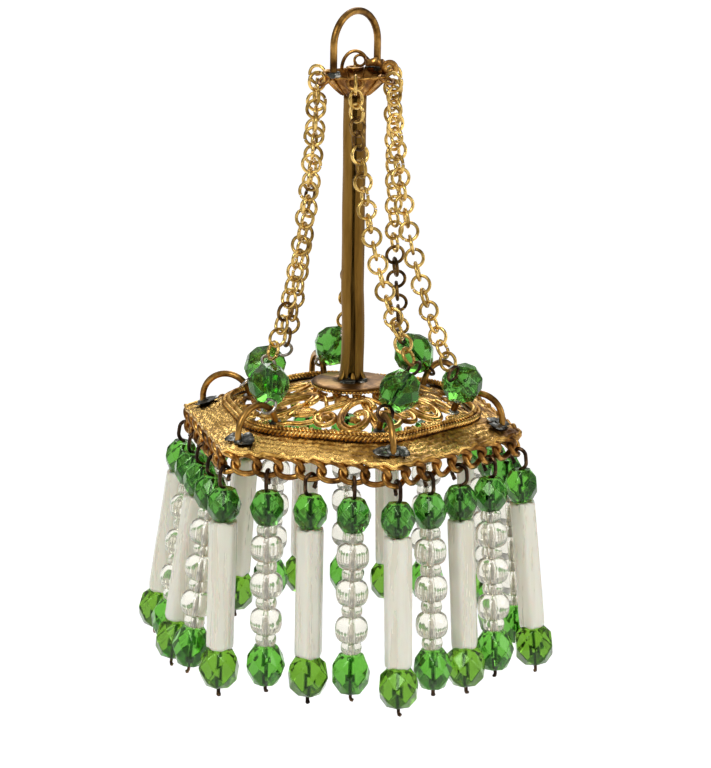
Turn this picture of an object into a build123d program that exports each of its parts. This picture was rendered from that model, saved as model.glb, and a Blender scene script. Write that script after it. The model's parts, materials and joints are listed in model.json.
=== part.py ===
from build123d import *
import os
from math import atan2, ceil, cos, degrees, radians, sin, sqrt

# A dolls-house chandelier in gilt brass filigree, strung with glass beads.
# Millimetres, +Z up. The origin is the point it hangs from: the inside top of the wire bail.
# Angles round the object are measured from -Y, growing towards +X.

# ---------------------------------------------------------------- driving dimensions
gallery_z = -51.7          # centre of the loops of the gallery, under the hang point
plate_radius = 21.25       # corner radius of the hexagon that the gallery follows
sides = 6

bail_wire = 0.88
bail_half_width = 3.95
bail_turn = -57.0

crown_floor_z = 41.9       # heights from here on are above gallery_z
crown_rim_z = 44.8
crown_rim_radius = 4.1
crown_floor_radius = 1.9
crown_sheet = 0.4
crown_turn = -15.0
ear_radius = 1.15
ear_hole_radius = 0.62
ear_centre = 4.4

stem_radius = 1.4
stem_wall = 0.35
seam_width = 0.4
seam_depth = 1.8
disc_radius = 5.0
disc_top = 6.7
disc_thickness = 0.9

sheet = 0.5                # thickness of the border plate and of the scrollwork
rim_bottom = 1.40
rim_radius = 21.6
border_inner_radius = 17.2
border_inner_fillet = 8.0
border_inner_top = 2.9
opening_radius = 16.4
opening_fillet = 7.6
rope_wire = 0.66
rope_runs = ((17.2, 3.22), (16.55, 3.565))         # corner radius and height of each wire

loops_per_side = 8
loop_outer = 1.42
loop_inner = 0.90
loop_thickness = 0.4

arch_wire = 0.8
arch_radius = 3.1
arch_centre_r = 16.0
arch_centre_z = 3.0
arch_foot_z = 2.03
arch_end = 172              # where the arch stops on the slope, degrees round it
arch_inner_foot = (12.93, 3.42)

solder_height = 0.6
arch_solder = (1.05, 0.55)   # radius at the foot and at the top of the lump
stem_solder = (2.3, 1.5)
bail_solder = (0.85, 0.5)

link_wire = 0.42
link_radius = 1.09         # to the middle of the wire
link_pitch_limit = 1.70    # links any further apart would cut into each other
link_twist = 4.0           # extra turn of each link, degrees
end_eye_radius = 0.95
end_eye_wire = 0.40
end_shank_wire = 0.36
end_bead_diameter = 5.3
end_bead_length = 4.4

pin_wire = 0.48
eye_inner_width = 1.34
eye_inner_height = 2.10
eye_rise = 0.43            # inside top of the eye above the middle of the gallery wire
bead_bore = 0.62
top_bead = (4.4, 4.0)      # diameter, length
bottom_bead = (4.9, 4.8)
tube_across_flats = 3.1
tube_bore = 1.7
tube_length = 16.0
large_clear = (4.0, 3.0)
small_clear = (2.6, 1.5)
bead_gap = 0.02            # between neighbours on a pin
pin_tail = 0.9             # pin below the last bead
tail_flat = (0.93, 0.48, 0.3)
tail_bend = 0.15           # how far the flattened end stands to one side
bead_facets = 7
bead_belt_share = 0.2      # half height of the upright facets, as a share of the length
bead_end_share = 0.58      # size of the flat ends, as a share of the diameter
bead_shoulder_share = 0.3  # rounding of a pressed bead, as a share of its length

# Directions of the chain ends where they leave the lift loops: sideways, inwards, up.
chain_ends = (
    (0.60, 0.30, 0.70), (-0.82, 0.15, 0.55), (0.10, 0.65, 0.72),
    (-0.26, 0.62, 0.74), (0.00, 0.72, 0.66), (-0.57, 0.53, 0.63),
)
# How each drop hangs, from the front corner round: outward lean and turn of its eye, degrees.
drop_leans = (4, 3, 4, 4, 6, 5, 3, 6, 4, 3, 5, 2, 4, 3, 5, 6, 9, 8, 9, 7, 2, 1, 1, 1)
drop_turns = (5, -10, 30, 5, -8, 15, 0, 30, 6, -25, 5, 20, -5, 0, 30, 10, -5, 25, 0, 15, 8, 5, -30, 20)

leg_z = crown_rim_z + gallery_z
apothem = plate_radius * cos(radians(30))
loop_pitch = plate_radius / loops_per_side
bar_radius = (loop_outer + loop_inner) / 2


# ---------------------------------------------------------------- directions and places
def outward(angle):
    return Vector(sin(radians(angle)), -cos(radians(angle)), 0)


def along(angle):
    return Vector(cos(radians(angle)), sin(radians(angle)), 0)


def height(value):
    return gallery_z + value


def radial_plane(angle):
    """Upright plane through the axis: local x points outwards, local y up."""
    return Plane(origin=(0, 0, gallery_z), x_dir=outward(angle), z_dir=along(angle) * -1)


def side_plane(angle, radius, z):
    """Upright plane that faces outwards: local x runs along the side, local y up."""
    return Plane(origin=outward(angle) * radius + Vector(0, 0, height(z)), x_dir=along(angle),
                 z_dir=outward(angle))


def hexagon(radius, fillet_radius):
    with BuildSketch(mode=Mode.PRIVATE) as outline:
        RegularPolygon(radius, sides, rotation=30)
        fillet(outline.vertices(), fillet_radius)
    return outline.sketch


def finish(piece, name):
    piece.label = name
    export_step(piece, f"parts/{name}.step")


os.makedirs("parts", exist_ok=True)

# ---------------------------------------------------------------- bail
bail_top = bail_wire / 2                        # middle of the wire at the top
bail_plane = Plane(origin=(0, 0, 0), x_dir=outward(bail_turn), z_dir=along(bail_turn) * -1)
with BuildPart() as bail:
    with BuildLine(bail_plane) as bail_path:
        Line((-bail_half_width, leg_z), (-bail_half_width, bail_top - bail_half_width))
        ThreePointArc((-bail_half_width, bail_top - bail_half_width), (0, bail_top),
                      (bail_half_width, bail_top - bail_half_width))
        Line((bail_half_width, bail_top - bail_half_width), (bail_half_width, leg_z))
    with BuildSketch(Plane(origin=bail_path.line @ 0, z_dir=bail_path.line % 0)):
        Circle(bail_wire / 2)
    sweep()
finish(bail.part, "bail")

# ---------------------------------------------------------------- crown
with BuildPart() as crown:
    with BuildSketch(Plane.XZ):
        with BuildLine():
            Polyline((0, height(crown_floor_z)), (crown_floor_radius, height(crown_floor_z)),
                     (crown_rim_radius - 0.5, leg_z - crown_sheet), (crown_rim_radius, leg_z - crown_sheet),
                     (crown_rim_radius, leg_z), (crown_rim_radius - 0.7, leg_z),
                     (crown_floor_radius - 0.2, height(crown_floor_z) + crown_sheet),
                     (0, height(crown_floor_z) + crown_sheet), close=True)
        make_face()
    revolve(axis=Axis.Z)
    ear_places = [outward(crown_turn + 60 * k) * ear_centre for k in range(sides)]
    with BuildSketch(Plane.XY.offset(leg_z)):
        with Locations(*ear_places):
            Circle(ear_radius)
    extrude(amount=-crown_sheet)
    with BuildSketch(Plane.XY.offset(leg_z)):
        with Locations(*ear_places):
            Circle(ear_hole_radius)
    extrude(amount=-crown_sheet, mode=Mode.SUBTRACT)
finish(crown.part, "crown")

# ---------------------------------------------------------------- stem: sheet rolled into a tube
with BuildPart() as stem:
    with BuildSketch(Plane.XY.offset(height(disc_top))):
        Circle(stem_radius)
        Circle(stem_radius - stem_wall, mode=Mode.SUBTRACT)
        with Locations(outward(crown_turn) * stem_radius):
            Rectangle(seam_width, seam_depth, rotation=crown_turn, mode=Mode.SUBTRACT)
    extrude(amount=crown_floor_z - disc_top)
finish(stem.part, "stem")

# ---------------------------------------------------------------- centre disc
with BuildPart() as centre_disc:
    with BuildSketch(Plane.XY.offset(height(disc_top - disc_thickness))):
        Circle(disc_radius)
    extrude(amount=disc_thickness)
    fillet(centre_disc.edges().filter_by(GeomType.CIRCLE), 0.25)
finish(centre_disc.part, "centre_disc")

# ---------------------------------------------------------------- border plate: a shallow six-sided dish
with BuildPart() as border_plate:
    with BuildSketch(Plane.XY.offset(height(rim_bottom))):
        add(hexagon(rim_radius, 0.6))
    with BuildSketch(Plane.XY.offset(height(border_inner_top))):
        add(hexagon(border_inner_radius, border_inner_fillet))
    loft(ruled=True)
    with BuildSketch(Plane.XY.offset(height(rim_bottom - sheet))):
        add(hexagon(rim_radius, 0.6))
    with BuildSketch(Plane.XY.offset(height(border_inner_top - sheet))):
        add(hexagon(border_inner_radius, border_inner_fillet))
    loft(ruled=True, mode=Mode.SUBTRACT)
    with BuildSketch(Plane.XY.offset(height(rim_bottom - 1))):
        add(hexagon(opening_radius, opening_fillet))
    extrude(amount=4, mode=Mode.SUBTRACT)
finish(border_plate.part, "border_plate")

# ---------------------------------------------------------------- rope trim: two wires on the inner edge
with BuildPart() as rope_trim:
    for rope_radius, rope_z in rope_runs:
        outline = hexagon(rope_radius, opening_fillet).edges()
        path = Wire(outline).moved(Location((0, 0, height(rope_z))))
        with BuildSketch(Plane(origin=path @ 0, z_dir=path % 0)):
            Circle(rope_wire / 2)
        sweep(path=path)
finish(rope_trim.part, "rope_trim")

# ---------------------------------------------------------------- scrollwork
# Six ribs run from under the disc to the corners, with a spray of scrolls between each two.
rib_inner = (4.4, disc_top - disc_thickness)
rib_outer = (15.5, border_inner_top - 0.2)
rib_width = 1.0
scroll_foot = (14.3, border_inner_top - 0.2)
scroll_head = (4.6, disc_top - disc_thickness)
scroll_rings = ((3.3, 1.4, 1.3, 0.7), (-0.5, 1.9, 2.0, 1.4), (-4.1, 1.9, 2.0, 1.4))    # u, v, outer, inner
rib_run = Vector(rib_outer[0] - rib_inner[0], rib_outer[1] - rib_inner[1])
scroll_rise = degrees(atan2(scroll_head[1] - scroll_foot[1], scroll_foot[0] - scroll_head[0]))

with BuildPart() as scrollwork:
    for k in range(sides):
        corner = 60 * k
        start = outward(corner) * rib_inner[0] + Vector(0, 0, height(rib_inner[1]))
        slope = outward(corner) * rib_run.X + Vector(0, 0, rib_run.Y)
        upward = along(corner).cross(slope) * -1
        with BuildSketch(Plane(origin=start, x_dir=slope, z_dir=upward)):
            Rectangle(rib_run.length, rib_width, align=(Align.MIN, Align.CENTER))
        extrude(amount=-sheet if upward.Z > 0 else sheet)
        middle = corner + 30
        foot = outward(middle) * scroll_foot[0] + Vector(0, 0, height(scroll_foot[1]))
        facing = Vector(0, 0, cos(radians(scroll_rise))) + outward(middle) * sin(radians(scroll_rise))
        with BuildSketch(Plane(origin=foot, x_dir=along(middle), z_dir=facing)):
            with Locations((3.2, 4.1)):
                Ellipse(2.5, 4.2)
                Ellipse(1.9, 3.6, mode=Mode.SUBTRACT)
            for u, v, outer, _ in scroll_rings:
                with Locations((u, v)):
                    Circle(outer)
            for u, v, _, inner in scroll_rings:
                with Locations((u, v)):
                    Circle(inner, mode=Mode.SUBTRACT)
            with Locations((-1.3, 6.9)):
                Ellipse(1.0, 3.2)
            with Locations((2.2, 8.9)):
                Ellipse(0.5, 1.4)
        extrude(amount=-sheet)
finish(scrollwork.part, "scrollwork")

# ---------------------------------------------------------------- gallery: a strip of loops round the rim
with BuildPart() as gallery:
    for k in range(sides):
        with BuildSketch(side_plane(60 * k + 30, apothem, 0)):
            with GridLocations(loop_pitch, 0, loops_per_side + 1, 1):
                Circle(loop_outer)
            with GridLocations(loop_pitch, 0, loops_per_side + 1, 1):
                Circle(loop_inner, mode=Mode.SUBTRACT)
            Rectangle(plate_radius, 2 * loop_outer, mode=Mode.INTERSECT)
        extrude(amount=loop_thickness / 2, both=True)
finish(gallery.part, "gallery")

# ---------------------------------------------------------------- lift loops: a wire arch at each corner
arch_foot_r = arch_centre_r + arch_radius
with BuildPart() as lift_loops:
    for k in range(sides):
        with BuildLine(radial_plane(60 * k)) as arch_path:
            Line((arch_foot_r, arch_foot_z), (arch_foot_r, arch_centre_z))
            CenterArc((arch_centre_r, arch_centre_z), arch_radius, 0, arch_end)
        with BuildSketch(Plane(origin=arch_path.line @ 0, z_dir=arch_path.line % 0)):
            Circle(arch_wire / 2)
        sweep()
finish(lift_loops.part, "lift_loops")

# ---------------------------------------------------------------- solder at the feet
with BuildPart() as solder:
    for k in range(sides):
        for foot_r, foot_z in ((arch_foot_r, arch_foot_z), arch_inner_foot):
            with Locations(outward(60 * k) * foot_r + Vector(0, 0, height(foot_z) + solder_height / 2)):
                Cone(*arch_solder, solder_height)
    with Locations((0, 0, height(disc_top) + solder_height / 2)):
        Cone(*stem_solder, solder_height)
    for turn in (bail_turn, bail_turn + 180):
        with Locations(outward(turn) * bail_half_width + Vector(0, 0, leg_z + solder_height / 2)):
            Cone(*bail_solder, solder_height)
finish(solder.part, "solder")


# ---------------------------------------------------------------- beads
def cut_bead(size):
    """A faceted bead on the Z axis, centred on the origin: an upright belt between two sloping rows."""
    diameter, length = size
    belt = length * bead_belt_share
    with BuildPart() as cut:
        for z, end_z in ((-belt, -length / 2), (belt, length / 2)):
            with BuildSketch(Plane.XY.offset(z)):
                RegularPolygon(diameter / 2, bead_facets)
            with BuildSketch(Plane.XY.offset(end_z)):
                RegularPolygon(diameter / 2 * bead_end_share, bead_facets)
            loft(ruled=True)
        with BuildSketch(Plane.XY.offset(-belt)):
            RegularPolygon(diameter / 2, bead_facets)
        extrude(amount=2 * belt)
        Cylinder(bead_bore / 2, 2 * length, mode=Mode.SUBTRACT)
    return cut.part


def pressed_bead(size):
    """A round bead with rolled shoulders, on the Z axis, centred on the origin."""
    diameter, length = size
    with BuildPart() as pressed:
        with BuildSketch(Plane.XZ):
            with Locations(((diameter + bead_bore) / 4, 0)):
                section = Rectangle((diameter - bead_bore) / 2, length)
            fillet(section.vertices().group_by(Axis.X)[-1], length * bead_shoulder_share)
        revolve(axis=Axis.Z)
    return pressed.part


def wire_ring(radius, wire):
    """A ring of round wire on the XY plane, with its surface seams on the top of the wire."""
    with BuildPart() as ring:
        with BuildSketch(Plane.XZ):
            with Locations(Location((radius, 0, 0), (0, 0, 90))):
                Circle(wire / 2)
        revolve(axis=Axis.Z)
    return ring.part


def pin_eye(centre_z, turn):
    """Round eye in an upright plane through the Z axis, made of two half rings."""
    across = Vector(cos(radians(turn)), sin(radians(turn)), 0) * end_eye_radius
    centre = Vector(0, 0, centre_z)
    upright = Vector(0, 0, end_eye_radius)
    with BuildPart() as eye:
        with BuildLine() as path:
            ThreePointArc(centre + across, centre + upright, centre - across)
            ThreePointArc(centre - across, centre - upright, centre + across)
        with BuildSketch(Plane(origin=centre + across, z_dir=(0, 0, 1))):
            Circle(end_eye_wire / 2)
        sweep(path=path.line)
    return eye.part


def double_eyed_pin(turn):
    """Pin centred on the Z axis, an eye at each end, the upper one turned from the lower one."""
    eye_centre = end_eye_radius + end_shank / 2
    with BuildPart() as pin:
        Cylinder(end_shank_wire / 2, end_shank)
        add(pin_eye(-eye_centre, 90))
        add(pin_eye(eye_centre, 90 + turn))
    return pin.part


# ---------------------------------------------------------------- chains
# Each chain hangs slack from an ear of the crown to the double-eyed pin of its end bead, which
# hooks round a lift loop. A chain and its bead sway as one about the line between the two hooks.
ear_band = ear_centre + (ear_radius + ear_hole_radius) / 2
first_link_drop = 0.80
last_link_gap = link_radius + end_eye_radius - end_eye_wire / 2 - link_wire / 2 - 0.04
hook_clearance = 0.05
sag_across = 0.12
sag_down = 0.62
link = wire_ring(link_radius, link_wire)
end_shank = end_bead_length + 0.3

for k in range(sides):
    corner = 60 * k
    sideways, inwards, up = chain_ends[k]
    reach = (along(corner) * sideways - outward(corner) * inwards + Vector(0, 0, up)).normalized()
    lean = atan2(inwards, up)
    hook = (outward(corner) * (arch_centre_r - arch_radius * sin(lean))
            + Vector(0, 0, height(arch_centre_z + arch_radius * cos(lean))))
    loop_run = outward(corner) * cos(lean) + Vector(0, 0, sin(lean))
    low_eye = hook + reach * (end_eye_radius - end_eye_wire / 2 - arch_wire / 2 - hook_clearance)
    high_eye = low_eye + reach * (2 * end_eye_radius + end_shank)
    bead_centre = low_eye + reach * (end_eye_radius + end_shank / 2)

    petal = outward(crown_turn + corner)
    top = petal * ear_band + Vector(0, 0, leg_z - first_link_drop)
    span = high_eye - top
    sag_point = top + Vector(span.X * sag_across, span.Y * sag_across, span.Z * sag_down)
    curve = Edge.make_bezier(top, sag_point, high_eye)
    gaps = ceil((curve.length - last_link_gap) / link_pitch_limit)
    pitch = (curve.length - last_link_gap) / gaps
    level = Vector(span.Y, -span.X, 0).normalized()
    petal_side = along(crown_turn + corner)
    link_places = [Plane(origin=top, x_dir=petal, z_dir=petal_side).location]
    for i in range(1, gaps + 1):
        centre = curve.position_at(i * pitch, position_mode=PositionMode.LENGTH)
        heading = curve.tangent_at(i * pitch, position_mode=PositionMode.LENGTH)
        facing = level.rotate(Axis((0, 0, 0), heading), 90 * i + link_twist * i)
        link_places.append(Plane(origin=centre, x_dir=heading, z_dir=facing).location)
    eye_facing = facing.cross(reach).normalized()
    eye_turn = degrees(atan2(loop_run.cross(eye_facing).dot(reach), loop_run.dot(eye_facing)))
    pin_place = Plane(origin=bead_centre, x_dir=loop_run, z_dir=reach).location

    with BuildPart() as chain:
        with Locations(*link_places):
            add(link)
        with Locations(pin_place):
            add(double_eyed_pin(eye_turn))
    finish(chain.part, f"chain_{k + 1}")

    with BuildPart() as chain_bead:
        with Locations(pin_place):
            add(cut_bead((end_bead_diameter, end_bead_length)))
    finish(chain_bead.part, f"chain_{k + 1}_bead")


# ---------------------------------------------------------------- drops
# A drop is modelled hanging straight down from the origin, which is the middle of the gallery
# wire that its eye goes round, and is then placed on the gallery.
def head_pin(length):
    """Wire with an eye at the top, a straight shank and a bent, flattened tail."""
    half = (eye_inner_width + pin_wire) / 2
    arc_top = eye_rise + pin_wire / 2
    upper = arc_top - half
    lower = upper - (eye_inner_height - eye_inner_width)
    with BuildPart() as pin:
        with BuildLine(Plane.YZ) as eye:
            Line((half, lower), (half, upper))
            ThreePointArc((half, upper), (0, arc_top), (-half, upper))
            Line((-half, upper), (-half, lower))
            ThreePointArc((-half, lower), (0, lower - half), (half, lower))
        with BuildSketch(Plane(origin=(0, half, lower), z_dir=(0, 0, 1))):
            Circle(pin_wire / 2)
        sweep(path=eye.line)
        with BuildSketch(Plane.XY.offset(lower - half)):
            Circle(pin_wire / 2)
        extrude(amount=-(length + lower - half))
        with Locations((tail_bend, 0, -length)):
            Box(*tail_flat)
    return pin.part


def string(beads, start):
    """Beads in a row down the pin: a list of solids and the depth where the row ends."""
    row, depth = [], start
    for size in beads:
        shape = pressed_bead if size in (small_clear, large_clear) else cut_bead
        with BuildPart(Plane.XY.offset(-(depth + size[1] / 2))) as strung:
            add(shape(size))
        row.append(strung.part)
        depth += size[1] + bead_gap
    return row, depth


eye_foot = pin_wire + eye_inner_height - eye_rise - pin_wire / 2
first_bead = eye_foot + 0.05

tube_start = first_bead + top_bead[1] + bead_gap
with BuildPart() as bugle:
    with BuildSketch(Plane.XY.offset(-tube_start)):
        RegularPolygon(tube_across_flats / 2, sides, major_radius=False)
        Circle(tube_bore / 2, mode=Mode.SUBTRACT)
    extrude(amount=-tube_length)
top_row, _ = string([top_bead], first_bead)
low_row, tube_drop_end = string([bottom_bead], tube_start + tube_length + bead_gap)
tube_string = [head_pin(tube_drop_end + pin_tail)] + top_row + low_row

clear_row = [small_clear, large_clear] * 3 + [small_clear]
bead_row, bead_drop_end = string([top_bead] + clear_row + [bottom_bead], first_bead)
bead_string = [head_pin(bead_drop_end + pin_tail)] + bead_row

drops = 4 * sides
for j in range(drops):
    side, step = divmod(j, 4)
    corner_point = outward(60 * side) * plate_radius
    next_corner = outward(60 * side + 60) * plate_radius
    bar = corner_point + (next_corner - corner_point) * (step / 4) + Vector(0, 0, height(-bar_radius))
    faces = 60 * side if step == 0 else 60 * side + 30
    place = (Plane(origin=bar, x_dir=along(faces), z_dir=(0, 0, 1)).location
             * Location((0, 0, 0), (-drop_leans[j], 0, drop_turns[j])))
    name = f"drop_{j + 1:02d}"
    with BuildPart() as drop:
        with Locations(place):
            add(tube_string if j % 2 == 0 else bead_string)
    finish(drop.part, f"{name}_strung")
    if j % 2 == 0:
        with BuildPart() as tube:
            with Locations(place):
                add(bugle.part)
        finish(tube.part, f"{name}_tube")
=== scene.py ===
import json
import random
from math import atan2, ceil, cos, exp, pi, radians, sin, sqrt, tan

import bmesh
import bpy
import numpy as np
from mathutils import Matrix, Vector


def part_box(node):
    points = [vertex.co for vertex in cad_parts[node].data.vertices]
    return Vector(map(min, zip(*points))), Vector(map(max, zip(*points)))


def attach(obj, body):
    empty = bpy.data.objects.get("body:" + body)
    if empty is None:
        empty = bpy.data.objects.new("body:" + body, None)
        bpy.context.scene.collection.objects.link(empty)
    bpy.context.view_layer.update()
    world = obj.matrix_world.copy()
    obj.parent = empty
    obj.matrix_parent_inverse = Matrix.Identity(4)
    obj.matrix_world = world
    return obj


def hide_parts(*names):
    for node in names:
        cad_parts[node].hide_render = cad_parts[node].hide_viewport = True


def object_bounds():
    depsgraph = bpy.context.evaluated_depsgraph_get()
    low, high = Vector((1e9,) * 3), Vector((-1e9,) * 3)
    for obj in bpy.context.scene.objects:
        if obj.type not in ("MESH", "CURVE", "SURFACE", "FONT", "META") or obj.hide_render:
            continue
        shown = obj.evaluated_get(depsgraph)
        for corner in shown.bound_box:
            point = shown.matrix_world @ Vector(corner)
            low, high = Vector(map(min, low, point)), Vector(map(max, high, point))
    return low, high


# Looks of the miniature chandelier. Lengths are millimetres until a mesh is made; heights are
# counted from the loops of the gallery. Angles round the object grow from -Y towards +X.

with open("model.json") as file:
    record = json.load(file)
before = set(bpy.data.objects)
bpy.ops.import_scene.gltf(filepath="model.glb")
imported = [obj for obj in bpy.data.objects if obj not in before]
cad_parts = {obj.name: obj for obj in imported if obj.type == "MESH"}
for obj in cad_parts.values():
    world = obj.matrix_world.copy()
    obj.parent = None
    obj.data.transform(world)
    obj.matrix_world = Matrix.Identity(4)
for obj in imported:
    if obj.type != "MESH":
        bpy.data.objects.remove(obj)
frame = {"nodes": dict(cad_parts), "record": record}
cad_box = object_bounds()
joints = {joint["name"]: joint for joint in frame["record"]["behaviour"]["joints"]}
MM = 0.001
UP = np.array([0.0, 0.0, 1.0])

# ------------------------------------------------------------------ sizes shared with the frame
front_hook = np.array(joints["drop_01_swing"]["pos_m"]) / MM
bar_radius = 1.16                                # middle of the wire of a gallery ring
gallery_z = front_hook[2] + bar_radius
plate_radius = -front_hook[1]
sides = 6
loops_per_side = 8
crown_rim_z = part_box("crown")[1][2] / MM - gallery_z
crown_floor_z = 41.9
crown_turn = -15.0
disc_top = 6.7
arch_radius, arch_centre_r, arch_centre_z, arch_wire = 3.1, 16.0, 3.0, 0.8
chain_ends = (
    (0.60, 0.30, 0.70), (-0.82, 0.15, 0.55), (0.10, 0.65, 0.72),
    (-0.26, 0.62, 0.74), (0.00, 0.72, 0.66), (-0.57, 0.53, 0.63),
)
drop_leans = (4, 3, 4, 4, 6, 5, 3, 6, 4, 3, 5, 2, 4, 3, 5, 6, 9, 8, 9, 7, 2, 1, 1, 1)
drop_turns = (5, -10, 30, 5, -8, 15, 0, 30, 6, -25, 5, 20, -5, 0, 30, 10, -5, 25, 0, 15, 8, 5, -30, 20)


# ------------------------------------------------------------------ vectors
def unit(vector):
    vector = np.asarray(vector, float)
    return vector / np.linalg.norm(vector)


def outward(angle):
    return np.array([sin(radians(angle)), -cos(radians(angle)), 0.0])


def along(angle):
    return np.array([cos(radians(angle)), sin(radians(angle)), 0.0])


def at_height(value):
    return UP * (gallery_z + value)


def turned(vector, axis, degrees):
    angle = radians(degrees)
    return (vector * cos(angle) + np.cross(axis, vector) * sin(angle)
            + axis * np.dot(axis, vector) * (1 - cos(angle)))


def basis(x_dir, z_dir):
    z_dir = unit(z_dir)
    x_dir = unit(np.asarray(x_dir, float) - z_dir * np.dot(x_dir, z_dir))
    return np.column_stack([x_dir, np.cross(z_dir, x_dir), z_dir])


def rotation_x(degrees):
    c, s = cos(radians(degrees)), sin(radians(degrees))
    return np.array([[1, 0, 0], [0, c, -s], [0, s, c]])


def rotation_z(degrees):
    c, s = cos(radians(degrees)), sin(radians(degrees))
    return np.array([[c, -s, 0], [s, c, 0], [0, 0, 1]])


# ------------------------------------------------------------------ mesh building
class Shape:
    """Vertices and faces in millimetres, gathered into one piece."""

    def __init__(self):
        self.verts, self.faces, self.mats, self.count = [], [], [], 0

    def add(self, made, material=0, turn=None, move=(0, 0, 0)):
        verts, faces = made
        verts = np.asarray(verts, float)
        if turn is not None:
            verts = verts @ np.asarray(turn).T
        self.verts.append(verts + np.asarray(move, float))
        self.faces += [[i + self.count for i in face] for face in faces]
        self.mats += [material] * len(faces)
        self.count += len(verts)
        return self

    def piece(self, name, body, slot, materials, replaces=(), smooth=True):
        mesh = bpy.data.meshes.new(name)
        mesh.from_pydata([tuple(v) for v in np.vstack(self.verts) * MM], [], self.faces)
        for material in materials:
            mesh.materials.append(material)
        mesh.polygons.foreach_set("material_index", self.mats)
        mesh.polygons.foreach_set("use_smooth", [smooth] * len(self.faces))
        mesh.update()
        obj = bpy.data.objects.new(name, mesh)
        bpy.context.scene.collection.objects.link(obj)
        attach(obj, body)
        if replaces:
            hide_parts(*replaces)
        return obj


def quads(rows, columns, rows_close=False, columns_close=False, first=0):
    """Faces of a grid of points, whose rows or columns may close on themselves."""
    faces = []
    for i in range(rows if rows_close else rows - 1):
        a, b = first + i * columns, first + (i + 1) % rows * columns
        for k in range(columns if columns_close else columns - 1):
            m = (k + 1) % columns
            faces.append([a + k, b + k, b + m, a + m])
    return faces


def flipped(faces):
    """The same faces, looking the other way."""
    return [[face[0], *face[:0:-1]] for face in faces]


def two_layers(around, across):
    """Faces of a closed band of two layers, with a wall along each edge."""
    total = around * across
    faces = quads(around, across, rows_close=True)
    faces += [[total + v for v in face[::-1]] for face in faces]
    for edge in (0, across - 1):
        for i in range(around):
            a, b = i * across + edge, (i + 1) % around * across + edge
            wall = [a, b, total + b, total + a]
            faces += [wall] if edge else flipped([wall])
    return faces


def tube(points, radius, around=8, closed=False, normal=None, flat=1.0):
    """Round or flattened wire along points. radius may be one number or one for each point."""
    points = np.asarray(points, float)
    count = len(points)
    radius = np.broadcast_to(np.asarray(radius, float), (count,))
    if closed:
        run = np.roll(points, -1, 0) - np.roll(points, 1, 0)
    else:
        run = np.gradient(points, axis=0)
    run = run / np.linalg.norm(run, axis=1)[:, None]
    side = np.array(normal, float) if normal is not None else np.cross(run[0], [0.31, 0.17, 0.93])
    angles = np.arange(around) * 2 * pi / around
    verts = []
    for point, ahead, r in zip(points, run, radius):
        side = unit(side - ahead * np.dot(side, ahead))
        other = np.cross(ahead, side)
        verts += [point + r * (side * flat * cos(a) + other * sin(a)) for a in angles]
    faces = flipped(quads(count, around, closed, True))
    if not closed:
        faces.append(list(range(around))[::-1])
        faces.append([(count - 1) * around + k for k in range(around)])
    return np.array(verts), faces


def arc(radius, start=0.0, stop=360.0, count=24):
    """Points of an arc on the XY plane, round the origin."""
    full = abs(stop - start) >= 360
    angles = np.radians(np.linspace(start, stop, count, endpoint=not full))
    return np.column_stack([radius * np.cos(angles), radius * np.sin(angles), np.zeros(count)])


def ring(radius, wire, count=26, around=9, flat=1.0):
    return tube(arc(radius, count=count), wire / 2, around, closed=True, normal=UP, flat=flat)


def revolved(profile, count=32):
    """Closed shape from a closed profile of (radius, z) points."""
    verts = [(r * cos(a), r * sin(a), z) for a in np.arange(count) * 2 * pi / count for r, z in profile]
    return np.array(verts), quads(count, len(profile), True, True)


def arrays(mesh):
    """Points and faces of a bmesh, which is freed."""
    mesh.verts.index_update()
    made = np.array([v.co[:] for v in mesh.verts]), [[v.index for v in f.verts] for f in mesh.faces]
    mesh.free()
    return made


def beveled(made, width, segments=2):
    verts, faces = made
    mesh = bmesh.new()
    points = [mesh.verts.new(v) for v in verts]
    for face in faces:
        mesh.faces.new([points[i] for i in face])
    bmesh.ops.recalc_face_normals(mesh, faces=mesh.faces)
    sharp = [e for e in mesh.edges if e.is_manifold and e.calc_face_angle(0) > radians(12)]
    bmesh.ops.bevel(mesh, geom=sharp, offset=width, segments=segments, profile=0.6, affect="EDGES")
    return arrays(mesh)


def cut_bead(diameter, length, bore, facets, seed):
    """Fire-polished bead: upright diamonds round its middle, kites and triangles to each end."""
    draw = random.Random(seed)
    step = 2 * pi / facets
    half = length / 2
    waist = diameter / 2
    end_radius = waist * 0.60
    tip_z = half * waist * sin(step / 2) ** 2 / (waist - end_radius)
    tip_radius = waist * cos(step / 2)
    rows = [(bore / 2, -half, 0.5), (end_radius, -half, 0.5), (tip_radius, -tip_z, 0.0), (waist, 0.0, 0.5),
            (tip_radius, tip_z, 0.0), (end_radius, half, 0.5), (bore / 2, half, 0.5)]
    verts = []
    for index, (radius, z, shift) in enumerate(rows):
        worn = 0.03 if 0 < index < 6 else 0.0
        for k in range(facets):
            a = (k + shift) * step + draw.uniform(-1, 1) * worn
            r = radius * (1 + draw.uniform(-1, 0.4) * worn)
            verts.append((r * cos(a), r * sin(a), z + draw.uniform(-1, 1) * worn))
    bore_low, end_low, tip_low, middle, tip_high, end_high, bore_high = (i * facets for i in range(7))
    faces = []
    for k in range(facets):
        m = (k + 1) % facets
        before = (k - 1) % facets
        faces += [[tip_low + k, middle + k, tip_high + k, middle + before],
                  [middle + k, tip_high + m, end_high + k, tip_high + k],
                  [middle + k, tip_low + k, end_low + k, tip_low + m],
                  [tip_high + k, end_high + k, end_high + before],
                  [tip_low + k, end_low + before, end_low + k],
                  [end_high + k, end_high + m, bore_high + m, bore_high + k],
                  [end_low + m, end_low + k, bore_low + k, bore_low + m],
                  [bore_high + k, bore_high + m, bore_low + m, bore_low + k]]
    return beveled((np.array(verts), faces), 0.13, 3)


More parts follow.
